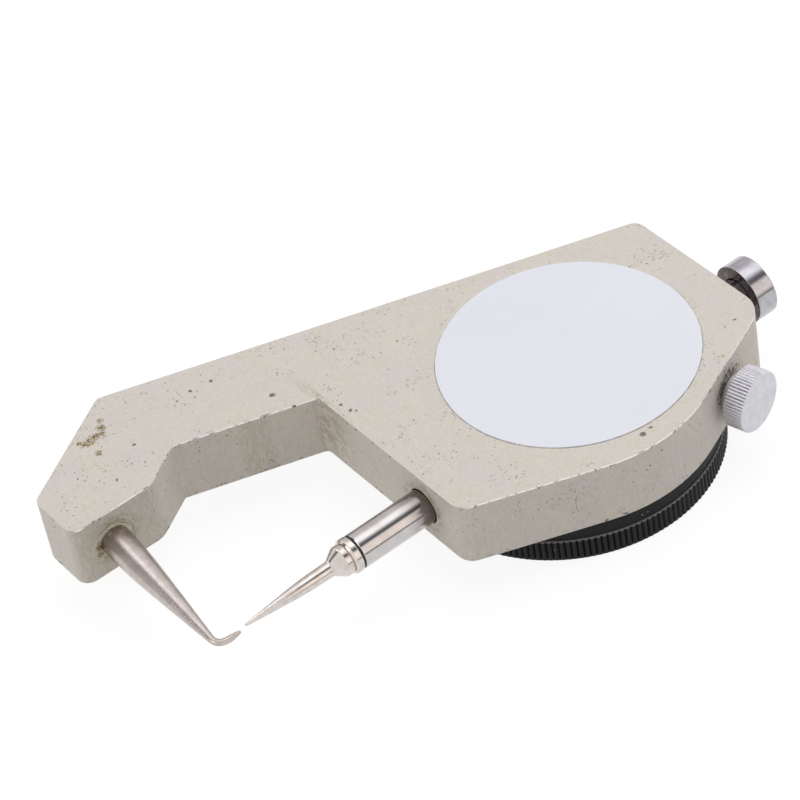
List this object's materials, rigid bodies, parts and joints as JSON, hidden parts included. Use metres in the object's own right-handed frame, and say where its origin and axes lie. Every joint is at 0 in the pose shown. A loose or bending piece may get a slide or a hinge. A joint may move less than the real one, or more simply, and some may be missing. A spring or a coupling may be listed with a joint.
{
  "type": "dial thickness gauge",
  "caption": "Handheld dial thickness gauge: cast frame with a hooked needle anvil, spring-loaded needle spindle, geared pointer, turning knurled bezel and lock screw.",
  "frame": {"origin": "under the middle of the gauge's bounding box, on the plane of the bezel's rim that it stands on", "axes": "+X along the spindle from the needle tips to the lifting cap, +Y towards the arm, +Z from the dial to the frame's back"},
  "size_m": [0.1352, 0.0871, 0.0233],
  "materials": {
    "cream_paint": "semi-gloss cream enamel, speckled and worn",
    "label_vinyl": "satin white film",
    "turned_steel": "fine turned satin",
    "chrome_rod": "polished hard chrome",
    "satin_nickel": "satin nickel",
    "black_plastic": "moulded black, satin",
    "black_fibre": "matt black",
    "brass": "bright brass",
    "spring_steel": "plain steel",
    "blued_steel": "blued",
    "dial_white": "matt white enamel",
    "pointer_black": "black lacquer",
    "clear_crystal": "clear acrylic"
  },
  "bodies": {
    "frame_body": {"frame": "cream_paint", "back_label": "label_vinyl", "anvil": "turned_steel", "lower_bush": "brass", "upper_bush": "brass", "guide_pin": "spring_steel", "movement_front_plate": "brass", "movement_back_plate": "brass", "movement_pillar_1": "brass", "movement_pillar_2": "brass", "movement_pillar_3": "brass", "pillar_screw_1": "spring_steel", "pillar_screw_2": "spring_steel", "pillar_screw_3": "spring_steel", "plate_screw_1": "spring_steel", "plate_screw_2": "spring_steel", "plate_screw_3": "spring_steel", "hairspring": "blued_steel", "hairspring_stud": "brass", "dial_base": "black_plastic", "base_screw_1": "spring_steel", "base_screw_2": "spring_steel", "base_screw_3": "spring_steel"},
    "spindle_body": {"spindle": "chrome_rod", "contact_washer": "black_fibre", "contact_point": "turned_steel", "lift_cap": "satin_nickel", "return_spring": "spring_steel"},
    "rack_gear_body": {"rack_arbor": "spring_steel", "rack_wheel": "brass"},
    "take_up_body": {"take_up_arbor": "spring_steel", "take_up_wheel": "brass"},
    "pointer_body": {"centre_arbor": "spring_steel", "pointer": "pointer_black"},
    "bezel_body": {"bezel": "black_plastic", "dial": "dial_white", "crystal": "clear_crystal"},
    "lock_pad_body": {"lock_pad": "brass"},
    "lock_screw_body": {"lock_screw": "satin_nickel"}
  },
  "joints": [
    {"name": "spindle_slide", "type": "slide", "parent": "frame_body", "child": "spindle_body", "axis": [1, 0, 0], "range_m": [-0.0012, 0.0085], "stiffness_N_per_m": 40, "springref_m": -0.02, "deforming": ["return_spring"]},
    {"name": "rack_gear_turn", "type": "hinge", "parent": "frame_body", "child": "rack_gear_body", "pos_m": [0.013, -0.012, 0.009], "axis": [0, 0, 1], "range_deg": [-25, 160]},
    {"name": "take_up_turn", "type": "hinge", "parent": "frame_body", "child": "take_up_body", "pos_m": [0.01977, -0.00209, 0.009], "axis": [0, 0, 1], "range_deg": [-160, 25], "deforming": ["hairspring"]},
    {"name": "pointer_turn", "type": "hinge", "parent": "frame_body", "child": "pointer_body", "pos_m": [0.0235, -0.01028, 0.009], "axis": [0, 0, 1], "range_deg": [-50, 320]},
    {"name": "bezel_turn", "type": "hinge", "parent": "frame_body", "child": "bezel_body", "pos_m": [0.0235, -0.01028, 0.009], "axis": [0, 0, 1], "continuous": true},
    {"name": "lock_feed", "type": "slide", "parent": "frame_body", "child": "lock_pad_body", "axis": [0.2605, -0.9655, 0], "range_m": [-0.00023, 0.00058]},
    {"name": "lock_turn", "type": "hinge", "parent": "lock_pad_body", "child": "lock_screw_body", "pos_m": [0.03955, -0.01738, 0.016], "axis": [0.2605, -0.9655, 0], "range_deg": [-120, 300]}
  ],
  "couplings": [
    {"joint": "rack_gear_turn", "follows": "spindle_slide", "rad_per_m": 314.16},
    {"joint": "take_up_turn", "follows": "spindle_slide", "rad_per_m": -314.16},
    {"joint": "pointer_turn", "follows": "spindle_slide", "rad_per_m": 628.32},
    {"joint": "lock_turn", "follows": "lock_feed", "rad_per_m": 8976}
  ]
}
